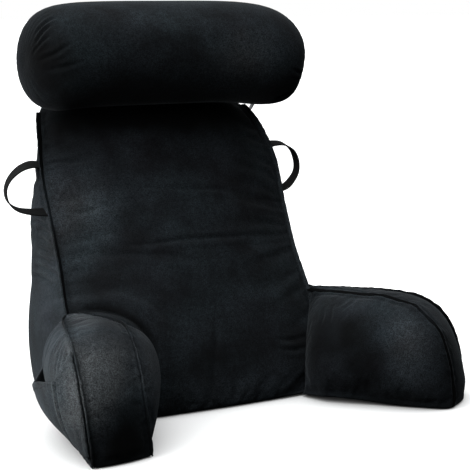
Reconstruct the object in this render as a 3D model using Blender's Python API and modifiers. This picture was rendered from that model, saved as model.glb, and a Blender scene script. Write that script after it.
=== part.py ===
"""Reading pillow with arms, as stuffed cloth solids at real size.

A wedge-shaped back cushion carries two stuffed arms on the side edges of its reclined front panel, a neck roll
on its top edge held by two tapes, a webbing loop on each side seam, and a patch pocket on the left arm's outer side.
Metres, +Z up. The pillow stands on z = 0, faces -Y, and x = 0 is the middle of the back cushion.
"""
import math

import bmesh
import bpy
import numpy as np

# Sewing and seating
GAP = 0.0003                 # neighbouring pieces stand this far apart
SHARP_LIMIT = 2.0            # at a sharp corner, at most this many times further
FLANGE = 0.007               # how far a raised seam stands out of the cloth
FLANGE_FOOT = 0.004          # from the seam line to where its raised edge starts

# Back cushion
FRONT_FOOT = -0.045          # y of the front panel where it meets the floor
RECLINE = 0.52               # how far the front panel runs back for each unit of height
CROWN_POWER = 2.4            # 2 is an even bow across the front panel, more is flatter in the middle
BACK_LEVELS = 26
FRONT_POINTS = 15
WRAP_POINTS = 30
# z: height of the row; middle: its middle; half: half its width at the side seams; inset: how far it is drawn in at
# the front; rear: y of the rear panel; fullness: 2 is an ellipse, more is squarer; crown: how far the front panel
# swells; puff: how far the side swells; rise: how far the row's middle stands above its ends
BACK_ROWS = [
    # z, middle, half, inset, rear, fullness, crown, puff, rise
    (0.000, 0.000, 0.194, 0.012, 0.245, 4.6, 0.004, 0.006, 0.000),
    (0.006, 0.000, 0.204, 0.003, 0.257, 4.8, 0.008, 0.009, 0.000),
    (0.022, 0.000, 0.208, 0.000, 0.268, 4.6, 0.014, 0.011, 0.000),
    (0.070, -0.002, 0.208, 0.000, 0.281, 4.0, 0.022, 0.012, 0.000),
    (0.150, -0.003, 0.211, 0.000, 0.286, 3.2, 0.030, 0.009, 0.000),
    (0.210, -0.005, 0.204, 0.000, 0.286, 3.0, 0.034, 0.008, 0.000),
    (0.280, -0.005, 0.202, 0.000, 0.281, 2.7, 0.035, 0.006, 0.000),
    (0.345, -0.002, 0.203, 0.000, 0.271, 2.3, 0.031, 0.003, 0.002),
    (0.390, -0.002, 0.196, 0.000, 0.264, 2.1, 0.026, 0.000, 0.006),
    (0.420, -0.005, 0.189, 0.000, 0.258, 2.0, 0.021, 0.000, 0.010),
    (0.438, -0.008, 0.182, 0.003, 0.252, 2.0, 0.016, 0.000, 0.015),
    (0.450, -0.009, 0.170, 0.010, 0.243, 2.0, 0.009, 0.000, 0.018),
    (0.456, -0.009, 0.148, 0.021, 0.233, 2.0, 0.004, 0.000, 0.020),
]

# Neck roll
ROLL_CENTRE = (0.006, 0.137, 0.527)
ROLL_LENGTH = 0.470
ROLL_RADIUS = 0.0800
ROLL_SQUARE = (10.5, 8.5)    # how squarely its left and right ends close: 2 is an ellipse
ROLL_DROOP = (0.010, 0.023)  # how far they hang
ROLL_LEAN = (0.000, 0.005)   # how far their tops lean to the right
ROLL_STEPS = 34
ROLL_SIDES = 36

# Arms: the boxing strip starts as a point at the back's side seam and widens to the front
ARM_REAR = -0.040            # the arm's shape runs back into the corner to here before it is trimmed
ARM_CORNER = 0.020           # and slopes this much there
ARM_TOE = 0.006              # radius of the front corner at the floor
ARM_CENTRE = (0.42, 0.085)   # middle of a puffed panel, as a share of the arm's length and as a height
CROOK_FOOT = 0.050           # s where the inner panel's seam to the front panel meets the floor
CROOK_BLEND = 0.070          # the inner panel reaches its full swell this far in front of that seam
CROOK_SINK = 0.024           # and how steeply it sinks behind that seam, into the back cushion
OUTER_BLEND = (-0.035, 0.060)  # s where the outer panel starts to swell, and where it is at its full swell
STRIP_CROWN = 0.009
# s: length along the arm; the plan position of the inner and of the outer raised seam's foot; turn: degrees the
# arm's cross direction is swung back; top: height of the inner seam; dip: how far the outer seam lies below it; foot:
# how far the inner panel's foot stands proud; lean: how far the arm's top leans outwards
ARM_COLUMNS = ("s", "inner_x", "inner_y", "outer_x", "outer_y", "turn", "top", "dip", "foot", "lean")
LEFT_ARM_ROWS = [
    (-0.060, -0.175, 0.094, -0.198, 0.094, 2.0, 0.143, 0.000, 0.070, 0.000),
    (0.000, -0.198, 0.036, -0.214, 0.036, 4.0, 0.149, 0.000, 0.075, 0.000),
    (0.070, -0.188, -0.030, -0.240, -0.030, 8.0, 0.160, 0.000, 0.062, 0.006),
    (0.140, -0.180, -0.100, -0.262, -0.105, 8.0, 0.166, 0.000, 0.018, 0.012),
    (0.250, -0.194, -0.207, -0.286, -0.217, 4.0, 0.167, 0.000, 0.000, 0.021),
]
RIGHT_ARM_ROWS = [
    (-0.060, 0.178, 0.092, 0.200, 0.098, 9.0, 0.143, 0.000, 0.070, 0.000),
    (0.000, 0.204, 0.034, 0.219, 0.038, 14.0, 0.148, 0.000, 0.075, 0.000),
    (0.080, 0.226, -0.042, 0.266, -0.024, 26.0, 0.154, 0.004, 0.080, 0.000),
    (0.160, 0.254, -0.120, 0.320, -0.077, 36.0, 0.156, 0.007, 0.036, 0.000),
    (0.270, 0.304, -0.215, 0.373, -0.145, 48.0, 0.155, 0.006, 0.000, 0.000),
]
LEFT_NOSE = (0.085, 0.105)   # length and height of the rounded corner at top front
RIGHT_NOSE = (0.118, 0.122)
LEFT_SLIM = (0.06, 0.125)    # share of their swell that the panels keep at the floor, and where it is full again
RIGHT_SLIM = (0.80, 0.095)
LEFT_OUTER = 0.74            # share of the inner panel's swell that the outer panel has
RIGHT_OUTER = 1.00
# share: the panel's outline drawn in to this share; puff: how far the panel swells there
ARM_PUFF = [
    (0.12, 0.0455),
    (0.26, 0.0455),
    (0.40, 0.0445),
    (0.54, 0.0420),
    (0.67, 0.0375),
    (0.79, 0.0305),
    (0.90, 0.0200),
    (0.97, 0.0090),
]

# Pocket on the left arm's outer panel
POCKET_THICK = 0.0022
POCKET_SEAT = 0.0017         # from the arm's panel to the sewn edges of the patch
POCKET_GAPE = 0.017          # how far the slack mouth stands off the arm
POCKET_BELLY = 4.0           # 1 gapes in step with the height, more makes a full belly from the foot up
POCKET_REAR = 0.012          # s of its rear edge
POCKET_HEM = 0.007           # from its front edge to the arm's raised seam
POCKET_FOOT = 0.016
POCKET_GRID = (21, 11)
# share of the way from rear to front: height of the mouth
POCKET_MOUTH = [
    (0.00, 0.094),
    (0.20, 0.076),
    (0.40, 0.080),
    (0.55, 0.092),
    (0.65, 0.101),
    (0.75, 0.106),
    (0.85, 0.110),
    (0.90, 0.114),
    (0.95, 0.131),
    (1.00, 0.147),
]

# Webbing loops, one on each side seam, as distance out from the seam and height
LOOP_WIDTH = 0.020
LOOP_THICK = 0.0022
LOOP_SEAM = (0.207, 0.0135)  # x of the seam where the loops are sewn in, and how far they lie behind it
LOOP_STEPS = 32
LEFT_LOOP = [
    (-0.006, 0.363),
    (0.009, 0.363),
    (0.027, 0.357),
    (0.044, 0.344),
    (0.053, 0.326),
    (0.052, 0.308),
    (0.040, 0.296),
    (0.021, 0.289),
    (-0.006, 0.288),
]
RIGHT_LOOP = [
    (-0.009, 0.373),
    (0.010, 0.376),
    (0.026, 0.371),
    (0.037, 0.358),
    (0.040, 0.341),
    (0.036, 0.325),
    (0.025, 0.312),
    (0.010, 0.303),
    (-0.009, 0.299),
]

# Tapes that hold the roll to the back's top corners, as x outwards, y and z, and how far each sits further in
TAPE_WIDTH = 0.010
TAPE_THICK = 0.0016
TAPE_STEPS = 14
TAPE_PATH = [
    (0.172, 0.202, 0.414),
    (0.190, 0.202, 0.424),
    (0.199, 0.200, 0.438),
    (0.197, 0.192, 0.456),
    (0.186, 0.178, 0.482),
]
LEFT_TAPE_INSET = 0.024
RIGHT_TAPE_INSET = 0.0


def through(stations, values, at):
    """Reads a smooth curve through a table's column at the stations asked for."""
    stations = np.asarray(stations, float)
    values = np.asarray(values, float)
    at = np.clip(at, stations[0], stations[-1])
    slopes = np.gradient(values, stations)
    k = np.clip(np.searchsorted(stations, at) - 1, 0, len(stations) - 2)
    width = stations[k + 1] - stations[k]
    t = (at - stations[k]) / width
    start = (2 * t ** 3 - 3 * t ** 2 + 1) * values[k] + (t ** 3 - 2 * t ** 2 + t) * width * slopes[k]
    end = (3 * t ** 2 - 2 * t ** 3) * values[k + 1] + (t ** 3 - t ** 2) * width * slopes[k + 1]
    return start + end


def along(points, count):
    """A smooth line through a few points, as count points."""
    points = np.array(points, float)
    rows = np.arange(len(points))
    at = np.linspace(0, len(points) - 1, count)
    return np.stack([through(rows, points[:, k], at) for k in range(points.shape[1])], axis=1)


def evenly(points, count):
    """Resamples an open line to points at equal steps of its length, without its two ends."""
    steps = np.linalg.norm(np.diff(points, axis=0), axis=1)
    length = np.concatenate([[0.0], np.cumsum(steps)])
    at = np.linspace(0.0, length[-1], count + 2)[1:-1]
    return np.stack([np.interp(at, length, points[:, k]) for k in range(points.shape[1])], axis=1)


def cloth(name, colour, roughness):
    """A plain cloth material."""
    material = bpy.data.materials.new(name)
    material.use_nodes = True
    shader = material.node_tree.nodes["Principled BSDF"]
    shader.inputs["Base Color"].default_value = (*colour, 1.0)
    shader.inputs["Roughness"].default_value = roughness
    shader.inputs["Metallic"].default_value = 0.0
    return material


def add_mesh(name, bm, material, collection):
    """Makes an object of a finished bmesh."""
    bmesh.ops.triangulate(bm, faces=bm.faces)
    bmesh.ops.recalc_face_normals(bm, faces=bm.faces)
    mesh = bpy.data.meshes.new(name)
    bm.to_mesh(mesh)
    bm.free()
    mesh.shade_smooth()
    mesh.materials.append(material)
    piece = bpy.data.objects.new(name, mesh)
    collection.objects.link(piece)
    return piece


def loft(name, rings, material, collection, plump=False):
    """Joins closed rings of points into one solid. Its ends are flat, or plump ones that meet in a point."""
    bm = bmesh.new()
    layers = [[bm.verts.new(point) for point in ring] for ring in rings]
    for low, high in zip(layers, layers[1:]):
        for i, corner in enumerate(low):
            j = (i + 1) % len(low)
            bm.faces.new((corner, low[j], high[j], high[i]))
    for layer in (layers[0][::-1], layers[-1]):
        end = bm.faces.new(layer)
        if plump:
            bmesh.ops.poke(bm, faces=[end])
    return add_mesh(name, bm, material, collection)


def band(name, line, wide, thick, width, material, collection):
    """A flat strap along a line, with its width along one fixed direction."""
    ahead = np.gradient(line, axis=0)
    ahead /= np.linalg.norm(ahead, axis=1)[:, None]
    wide = np.array(wide, float)
    rings = []
    for spot, step in zip(line, ahead):
        face = np.cross(step, wide)
        face /= np.linalg.norm(face)
        corners = ((-1, -1), (1, -1), (1, 1), (-1, 1))
        rings.append([spot + wide * w * width / 2 + face * t * thick / 2 for w, t in corners])
    return loft(name, rings, material, collection)


def grown(piece, collection):
    """A copy of a solid that stands the gap proud of it all over, to trim its neighbours with."""
    mesh = piece.data.copy()
    bm = bmesh.new()
    bm.from_mesh(mesh)
    steps = [v.normal * GAP * min(v.calc_shell_factor(), SHARP_LIMIT) for v in bm.verts]
    for vertex, step in zip(bm.verts, steps):
        vertex.co += step
    bm.to_mesh(mesh)
    bm.free()
    cutter = bpy.data.objects.new(piece.name + ".cutter", mesh)
    cutter.hide_render = True
    cutter.display_type = "WIRE"
    collection.objects.link(cutter)
    return cutter


def trim(piece, cutter):
    """Cuts away what would sink into the neighbour."""
    cut = piece.modifiers.new("trim", "BOOLEAN")
    cut.operation = "DIFFERENCE"
    cut.solver = "EXACT"
    cut.object = cutter


def back_ring(z, middle, half, inset, rear, fullness, crown, puff, rise):
    """One row of the back cushion: front panel, raised side seams, sides and rear."""
    front = FRONT_FOOT + RECLINE * z + inset
    across = np.linspace(-1.0, 1.0, FRONT_POINTS + 2)[1:-1]
    panel = [(u * half, front - crown * (1 - abs(u) ** CROWN_POWER)) for u in across]
    turn = np.linspace(0.0, math.pi, 181)
    wide = np.sign(np.cos(turn)) * np.abs(np.cos(turn)) ** (2 / fullness)
    deep = np.sin(turn) ** (2 / fullness)
    swell = half + puff * np.sin(math.pi * deep)
    wrap = evenly(np.stack([swell * wide, front + (rear - front) * deep], axis=1), WRAP_POINTS)
    tip = FLANGE * max(0.2, 1 - inset / 0.008)
    right_seam = [
        (half - FLANGE_FOOT, front),
        (half + tip * 0.85, front - tip * 0.5),
        (half, front + FLANGE_FOOT),
    ]
    left_seam = [(-x, y) for x, y in right_seam[::-1]]
    plan = [left_seam[-1], *panel, *right_seam, *wrap.tolist(), *left_seam[:-1]]
    return [(middle + x, y, z + rise * (1 - (x / half) ** 2)) for x, y in plan]


def build_back(material, collection):
    """The wedge-shaped back cushion."""
    levels = along(BACK_ROWS, BACK_LEVELS)
    return loft("backrest", [back_ring(*level) for level in levels], material, collection)


def build_roll(material, collection):
    """The neck roll, a bolster with plump rounded ends."""
    cx, cy, cz = ROLL_CENTRE
    turn = np.linspace(0, 2 * math.pi, ROLL_SIDES, endpoint=False)
    rings = []
    for t in np.sin(np.linspace(-1, 1, ROLL_STEPS) * math.pi / 2 * 0.985):
        end = int(t > 0)
        radius = ROLL_RADIUS * (1 - abs(t) ** ROLL_SQUARE[end]) ** (1 / 2.3)
        x = cx + t * ROLL_LENGTH / 2
        z = cz - ROLL_DROOP[end] * t ** 4
        lean = ROLL_LEAN[end] * t ** 6
        rings.append([(x + lean * math.sin(a), cy + radius * math.cos(a), z + radius * math.sin(a)) for a in turn])
    return loft("neck_roll", rings, material, collection)


class Arm:
    """The form of one stuffed arm, read from its table."""

    def __init__(self, rows, nose, slim, outer, side):
        self.table = np.array(rows)
        self.slim = slim
        self.outer = outer
        self.length = self.table[-1, 0]
        self.nose = nose
        self.side = side
        self.centre = np.array([ARM_CENTRE[0] * self.length, ARM_CENTRE[1]])
        self.outline, self.lift = self.side_view()

    def read(self, column, s):
        return float(through(self.table[:, 0], self.table[:, ARM_COLUMNS.index(column)], s))

    def side_view(self):
        """The arm's outline as length and height, and the way its raised edge and its crown lift there."""
        long, high = self.nose
        top = self.read("top", self.length)
        points = [(s, self.read("top", s)) for s in np.linspace(ARM_REAR, self.length - long, 11)[:-1]]
        for a in np.linspace(0, math.pi / 2, 9):
            points.append((self.length - long * (1 - math.sin(a) ** 0.9), top - high * (1 - math.cos(a) ** 0.9)))
        points += [(self.length, z) for z in (0.024, 0.015, ARM_TOE)]
        points.append((self.length - ARM_TOE * 0.4, ARM_TOE * 0.35))
        raised = len(points)
        points += [(s, 0.0) for s in np.linspace(self.length - ARM_TOE, ARM_REAR + ARM_CORNER, 9)]
        points += [(ARM_REAR + ARM_CORNER * (1 - z / top), z) for z in (0.035, 0.075, 0.110)]
        points = np.array(points)
        ahead = np.roll(points, -1, axis=0) - np.roll(points, 1, axis=0)
        lift = np.stack([-ahead[:, 1], ahead[:, 0]], axis=1)
        lift /= np.linalg.norm(lift, axis=1)[:, None]
        lift[raised:] = 0.0
        lift[raised - 1] *= 0.2
        lift[raised - 2] *= 0.6
        return points, lift

    def place(self, s, z, edge, outward):
        """Where a point lies: edge 0 is the inner seam and 1 the outer, outward is how far beyond that seam."""
        inner = np.array([self.read("inner_x", s), self.read("inner_y", s)])
        outer = np.array([self.read("outer_x", s), self.read("outer_y", s)])
        turn = math.radians(self.read("turn", s))
        cross = np.array([self.side * math.cos(turn), math.sin(turn)])
        ahead = np.array([self.side * math.sin(turn), -math.cos(turn)])
        rise = min(1.0, z / self.read("top", s))
        z -= self.read("dip", s) * edge * rise
        outward -= self.read("foot", s) * (1 - rise) * (1 - edge)
        spot = inner + (outer - inner) * edge + cross * (outward + self.read("lean", s) * rise)
        spot += ahead * max(0.0, s - self.length)
        return (*spot, z)

    def swell(self, s, z, puff, inner):
        """A puff as it is left near the floor and near the seams to the back cushion."""
        least, full = self.slim
        belly = min(1.0, z / full)
        puff *= least + (1 - least) * belly * (2 - belly)
        start, end = OUTER_BLEND
        if inner:
            start = CROOK_FOOT * (1 - z / self.read("top", s))
            end = start + CROOK_BLEND
        near = min(1.0, (s - start) / (end - start))
        if near < 0:
            return CROOK_SINK * near if inner else 0.0
        return puff * near * (2 - near) * (1 if inner else self.outer)

    def puff(self, s, z):
        """How far the outer panel swells at a length and height."""
        reach = self.outline - self.centre
        bearing = np.arctan2(reach[:, 1], reach[:, 0])
        order = np.argsort(bearing)
        ds, dz = s - self.centre[0], z - self.centre[1]
        edge = np.interp(math.atan2(dz, ds), bearing[order], np.linalg.norm(reach, axis=1)[order], period=2 * math.pi)
        shares, puffs = zip(*ARM_PUFF, (1.0, 0.0))
        return self.swell(s, z, float(np.interp(math.hypot(ds, dz) / edge, shares, puffs)), False)

    def front(self, z):
        """How far forward the arm reaches at a height."""
        nose = self.outline[self.outline[:, 0] > self.length - self.nose[0]]
        order = np.argsort(nose[:, 1])
        return float(np.interp(z, nose[order, 1], nose[order, 0]))

    def panel(self, edge, share, puff):
        """The outline drawn in to a share, on the swelling inner or outer panel."""
        points = []
        for point in self.outline:
            s, z = self.centre + (point - self.centre) * share
            swell = self.swell(s, z, puff, edge == 0)
            points.append(self.place(s, z, edge, swell if edge else -swell))
        return points

    def seam(self, edge, across, raised):
        """The full outline beside, on or between the raised seams."""
        points = []
        for point, lift in zip(self.outline, self.lift):
            s, z = point + lift * raised
            points.append(self.place(s, max(z, 0.0), edge, across))
        return points


def build_arm(name, arm, material, collection):
    """A stuffed arm: puffed inner and outer panels with a boxing strip between two raised seams."""
    beside = FLANGE_FOOT * 0.4
    tip = FLANGE_FOOT * 0.1
    rings = [arm.panel(0, share, puff) for share, puff in ARM_PUFF]
    rings += [arm.seam(0, -beside, 0.0), arm.seam(0, -tip, FLANGE), arm.seam(0, beside, 0.0)]
    for edge in (0.16, 0.33, 0.50, 0.67, 0.84):
        rings.append(arm.seam(edge, 0.0, STRIP_CROWN * (1 - (2 * edge - 1) ** 2)))
    rings += [arm.seam(1, -beside, 0.0), arm.seam(1, tip, FLANGE), arm.seam(1, beside, 0.0)]
    rings += [arm.panel(1, share, puff) for share, puff in ARM_PUFF[::-1]]
    return loft(name, rings, material, collection, plump=True)


def build_pocket(arm, material, collection):
    """The patch pocket: a sheet sewn round three sides, whose slack mouth stands off the arm."""
    columns, rows = POCKET_GRID
    shares, heights = zip(*POCKET_MOUTH)
    bm = bmesh.new()
    grid = []
    for u in np.linspace(0, 1, columns):
        mouth = through(shares, heights, u)
        slack = math.sin(math.pi * u ** 0.8)
        line = []
        for v in np.linspace(0, 1, rows):
            z = POCKET_FOOT + (mouth - POCKET_FOOT) * v
            s = POCKET_REAR + (arm.front(z) - POCKET_HEM - POCKET_REAR) * u
            outward = arm.puff(s, z) + POCKET_SEAT + POCKET_GAPE * slack * (1 - (1 - v) ** POCKET_BELLY)
            line.append(bm.verts.new(arm.place(s, z, 1, outward)))
        grid.append(line)
    for left, right in zip(grid, grid[1:]):
        for j in range(rows - 1):
            bm.faces.new((left[j], left[j + 1], right[j + 1], right[j]))
    patch = add_mesh("arm_pocket", bm, material, collection)
    shell = patch.modifiers.new("cloth", "SOLIDIFY")
    shell.thickness = POCKET_THICK
    shell.offset = 1.0
    return patch


def build_loop(name, side, path, material, collection):
    """A webbing loop that stands out of a side seam."""
    seam, behind = LOOP_SEAM
    line = [(side * (seam + out), FRONT_FOOT + RECLINE * z + behind, z) for out, z in along(path, LOOP_STEPS)]
    return band(name, np.array(line), (0, 1, 0), LOOP_THICK, LOOP_WIDTH, material, collection)


def build_tape(name, side, inset, material, collection):
    """A short tape from a top corner of the back to the roll."""
    line = (along(TAPE_PATH, TAPE_STEPS) - (inset, 0, 0)) * (side, 1, 1)
    return band(name, line, (0, 1, 0), TAPE_THICK, TAPE_WIDTH, material, collection)


def main():
    for old in list(bpy.data.objects):
        bpy.data.objects.remove(old)
    pillow = bpy.data.collections.new("reading_pillow")
    cutters = bpy.data.collections.new("cutters")
    bpy.context.scene.collection.children.link(pillow)
    bpy.context.scene.collection.children.link(cutters)
    velvet = cloth("velvet", (0.012, 0.013, 0.017), 0.85)
    webbing = cloth("webbing", (0.010, 0.010, 0.012), 0.6)
    tape = cloth("tape", (0.45, 0.45, 0.46), 0.7)

    back = build_back(velvet, pillow)
    roll = build_roll(velvet, pillow)
    left = Arm(LEFT_ARM_ROWS, LEFT_NOSE, LEFT_SLIM, LEFT_OUTER, -1)
    right = Arm(RIGHT_ARM_ROWS, RIGHT_NOSE, RIGHT_SLIM, RIGHT_OUTER, 1)
    arms = [build_arm("arm_left", left, velvet, pillow), build_arm("arm_right", right, velvet, pillow)]
    build_pocket(left, velvet, pillow)
    loops = [
        build_loop("loop_left", -1, LEFT_LOOP, webbing, pillow),
        build_loop("loop_right", 1, RIGHT_LOOP, webbing, pillow),
    ]
    tapes = [
        build_tape("roll_tape_left", -1, LEFT_TAPE_INSET, tape, pillow),
        build_tape("roll_tape_right", 1, RIGHT_TAPE_INSET, tape, pillow),
    ]

    back_cutter = grown(back, cutters)
    roll_cutter = grown(roll, cutters)
    for piece in (roll, *arms, *loops, *tapes):
        trim(piece, back_cutter)
    for piece in tapes:
        trim(piece, roll_cutter)


main()
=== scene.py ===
"""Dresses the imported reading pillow: stuffed velvet cushions with raised seams, a pocket, loops and tapes.

Metres, +Z up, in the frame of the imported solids. Each cushion is remeshed from its solid, swollen by a cloth
simulation that is held at its seams, and then creased by vertex moves.
"""
import math

import bmesh
import bpy
import numpy as np
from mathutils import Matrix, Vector
from mathutils.bvhtree import BVHTree
from mathutils.kdtree import KDTree


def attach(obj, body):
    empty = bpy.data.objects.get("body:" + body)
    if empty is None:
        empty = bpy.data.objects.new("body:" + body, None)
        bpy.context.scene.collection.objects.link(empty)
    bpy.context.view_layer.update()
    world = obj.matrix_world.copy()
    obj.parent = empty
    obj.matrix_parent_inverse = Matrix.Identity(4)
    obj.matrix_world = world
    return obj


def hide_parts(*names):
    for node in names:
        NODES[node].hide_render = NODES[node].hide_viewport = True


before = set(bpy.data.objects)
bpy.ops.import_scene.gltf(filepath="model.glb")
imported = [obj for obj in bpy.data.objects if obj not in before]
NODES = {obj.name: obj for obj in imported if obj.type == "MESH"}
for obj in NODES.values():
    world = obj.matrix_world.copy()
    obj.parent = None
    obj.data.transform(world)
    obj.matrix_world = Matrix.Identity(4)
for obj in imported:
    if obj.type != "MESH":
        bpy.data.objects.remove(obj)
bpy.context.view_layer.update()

# Camera and light
IMAGE_SIDE = 470
FOCAL_PIXELS = 1500.0
SENSOR = 36.0
CAMERA_PLACE = (-1.0604, -1.9565, 0.6196)
CAMERA_TURN = (80.8, 0.0, -29.6)

# Raised seams
SEAM_ANGLE = math.radians(110)  # a solid's edge sharper than this is a raised seam's tip
SEAM_LONG = 0.15  # shorter runs of sharp edges are none
SEAM_CLEAR = 0.0007  # closer to the back cushion than this, it is a trimmed edge
SEAM_HOLD = 0.006  # cloth this near to a seam is held by it
EDGE_REACH, MOUTH_REACH = 0.02, 0.03  # how far out a place's distance to a line still counts
SEAM_LOW, SEAM_HIGH = 0.004, 0.0098
SEAM_THICK = 0.0023
SEAM_ROOT = 0.008  # how far it reaches into the cushion
SEAM_DIP = 0.0016  # how far the cloth dips beside it
SEAM_DIP_WIDE = 0.0030
SEAM_STEP = 0.0025
SEAM_SMOOTHED = 3  # rounds
SEAM_FLOOR = 0.02  # lines that stay below this are the foot's edge, and no seams
SEAM_WAVES = [(0.013, 0.0012, 0.0), (0.006, 0.0006, 9.0)]  # pitch, size, row of the noise
SEAM_RAGGED = (0.010, 0.18, 40.0)  # the same, for its height
# share of its height, half its thickness as a share
SEAM_PROFILE = [(-0.6, 1.5), (0.0, 1.35), (0.25, 0.92), (0.5, 0.84), (0.78, 0.95), (0.93, 0.84), (1.0, 0.46)]
SEAM_GROOVE = (0.955, 0.0)  # between its two cloth edges
SEAM_HIGHLIGHT_FROM = 0.9  # from this share of its height on, its left side has the painted highlight of its edge

# Cloth
SAME_SPOT = 1e-5  # vertices nearer than this are one
VOXEL_SMOOTHED = 5  # rounds
FOOT_OUT = 0.003  # how far a cushion's foot is pressed outwards by its weight
FOOT_HIGH, FOOT_SQUARED = 0.014, 0.9
FOOT_HOLD = 0.006  # cloth this near to the floor is held by it
HOLD_FADE, FLOOR_FADE = 1.6, 1.5
SWELL_FRAMES = 20
PRESSURE = 4.0
START_IN = 0.0022  # the cushions start this much smaller than their solids
PUCKER_DEEP, PUCKER_PITCH, PUCKER_REACH = 0.0010, 0.010, 0.010
PUCKER_AT, PUCKER_LONG = 0.004, 0.025
CREASE_UNEVEN = 0.35
RIDGE_HIGH = 0.55  # the ridges beside a crease, as a share of its depth
RIDGE_AT, RIDGE_WIDE = 2.2, 1.3  # where they lie and how wide they are, in the crease's half widths
GATHERS = 24
GATHER_SHORT, GATHER_MORE = 0.016, 0.030
GATHER_RADIUS = 0.055
DIMPLE_DEEP, DIMPLE_WIDE, DIMPLE_REACH = 0.0015, 0.016, 0.03
# how far painted shade darkens and painted light lightens the pile, at most
PAINTED_LEAST, PAINTED_MOST = -0.93, 4.0
PAINTED_PATCHY = 0.25  # how uneven the edges of the patches of painted light and shade are
UNEVEN_PITCH = 0.03

# Pocket corners: where its mouth ends at the rear and at the front
POCKET_REAR_TOP = (-0.2394, 0.0264, 0.096)
POCKET_FRONT_TOP = (-0.3040, -0.179, 0.149)
RIM_ANGLE = 0.9  # radians between its faces and its rim
POCKET_FRONT = 12  # so many points of its rim lie along its front edge
POCKET_DRAWN = 0.026  # the width of the strip that is drawn towards the seam
POCKET_PAINTED_LIGHT = 0.5  # how much lighter its pile is painted: painted light on the patch
POCKET_OFF = 0.0030  # what is left between its edge and the seam's middle
POCKET_FOLD = (0.90, 13)  # where its fold starts along the mouth, and the rim's point where it ends
POCKET_FINER = 3
FOLD_RIDGE = (0.0019, 0.0042, 0.0026)  # height, distance from the fold, half width
FOLD_GROOVE = (0.0026, 0.0013)  # depth, half width
FOLD_PAINTED_SHADE, FOLD_PAINTED_HIGHLIGHT, FOLD_PAINTED_SHADE_BEHIND = (-2.6, 0.0015), (2.2, 0.0030), (-1.5, 0.0070)  # painted shade in the fold, painted highlight on its ridge, painted shade behind: lighter by, half width
PAINTED_SHADE_BEHIND_AT = 0.0150  # how far the strip of painted shade lies behind the fold
HEM_WIDE, HEM_EDGE, HEM_THICK = 0.0085, 0.0004, 0.0007
HEM_STITCH, HEM_STITCH_WIDE, HEM_STITCH_DEEP = 0.0075, 0.0009, 0.0006
EDGE_STITCH, EDGE_STITCH_WIDE, EDGE_STITCH_DEEP = 0.003, 0.0008, 0.0004
RIPPLE_HIGH, RIPPLE_PITCH, RIPPLE_REACH = 0.0008, 0.016, 0.02
SLACK_HIGH, SLACK_PITCH = 0.0009, 0.035
PULL_HIGH, PULL_PITCH, PULL_REACH = 0.0005, 0.011, 0.008

# Loops and tapes, on the same lines as their solids
RECLINE = 0.52
LOOP_X, LOOP_Y = 0.207, -0.0315
LOOP_WIDTH, LOOP_THICK = 0.020, 0.0022
LEFT_LOOP = [
    # out from the side seam, height, how far its width is turned to the side and tipped up (degrees)
    (-0.006, 0.361, 0, 28), (0.009, 0.362, 5, 24), (0.028, 0.356, 9, 12), (0.046, 0.343, 12, 0),
    (0.056, 0.327, 12, 0), (0.055, 0.311, 11, 6), (0.043, 0.300, 7, 18), (0.021, 0.295, 3, 28),
    (-0.006, 0.293, 0, 30),
]
RIGHT_LOOP = [
    (-0.009, 0.370, 0, 24), (0.010, 0.373, 3, 20), (0.028, 0.371, 5, 6), (0.041, 0.360, 7, 0),
    (0.044, 0.343, 8, 0), (0.038, 0.327, 8, 0), (0.025, 0.314, 6, 6), (0.010, 0.305, 3, 14),
    (-0.009, 0.301, 0, 20),
]
LOOP_RIB, TAPE_RIB = 0.0016, 0.0011
RIB_HIGH = 0.11  # as a share of half the thickness
EDGE_AT, EDGE_TURN = 0.83, 1.6  # where the selvedge starts, and how far its ribs are out of step
# across a strap as a share of half its width, and half its thickness as a share
SELVEDGE = [(-1.0, 0.0), (-0.985, 0.62), (-0.93, 0.95), (-0.86, 0.98), (-0.80, 0.78)]
CORDS, CORD_LOW, CORD_HIGH = 11, 0.76, 0.18
TAPE_WIDTH, TAPE_THICK = 0.010, 0.0016
LEFT_TAPE_IN = 0.024  # how much further in the left tape lies
TAPE_PATH = [
    (0.172, 0.202, 0.414), (0.190, 0.202, 0.424), (0.199, 0.200, 0.438), (0.197, 0.192, 0.456),
    (0.186, 0.178, 0.482),
]

# Stitches
STITCH_LONG, STITCH_SPACE, STITCH_RADIUS = 0.0027, 0.0010, 0.00033
STITCH_STEP = 0.0005
STITCH_SIDES = 6
# share of its length, share of its thickness
STITCH_RINGS = ((0.0, 0.25), (0.18, 0.85), (0.5, 1.0), (0.82, 0.85), (1.0, 0.25))

# Lights: name, place, aim, size, power, spread in degrees
WARM, COOL, COOLER = (1.0, 1.0, 0.99), (0.97, 0.99, 1.0), (0.96, 0.99, 1.0)
AREA_LIGHTS = [
    ("key", (-1.35, -0.45, 1.05), (-0.1, 0.0, 0.2), (0.9, 0.9), 12, 180),
    ("side", (-1.4, 0.1, 0.28), (-0.25, 0.0, 0.12), (0.45, 0.45), 1.05, 36),
]
# name, side that it comes from, spread in degrees, power, colour
SUN_LIGHTS = [
    ("top", (-0.9, 0.1, 2.4), 60, 1.6, COOLER),
    ("rear", (0.4, 1.5, 1.1), 60, 0.45, COOL),
]
FLOOR_SIZE, FLOOR_DOWN = 30.0, 0.0004
FLOOR_NEAR, FLOOR_DEPTH, FLOOR_GLOW = 0.26, 1.2, 1.05  # reach and power of the painted soft shadow in its glow, and the glow's strength
FLOOR_LOOK = {
    "Base Color": (0.6, 0.6, 0.6, 1), "Roughness": 1.0, "Specular IOR Level": 0.0,
    "Emission Color": (1, 1, 1, 1),
}
SKY_COLOUR, SKY_GLOW, SKY_FULL = (0.93, 0.98, 1.0, 1), 0.42, 0.9

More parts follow.
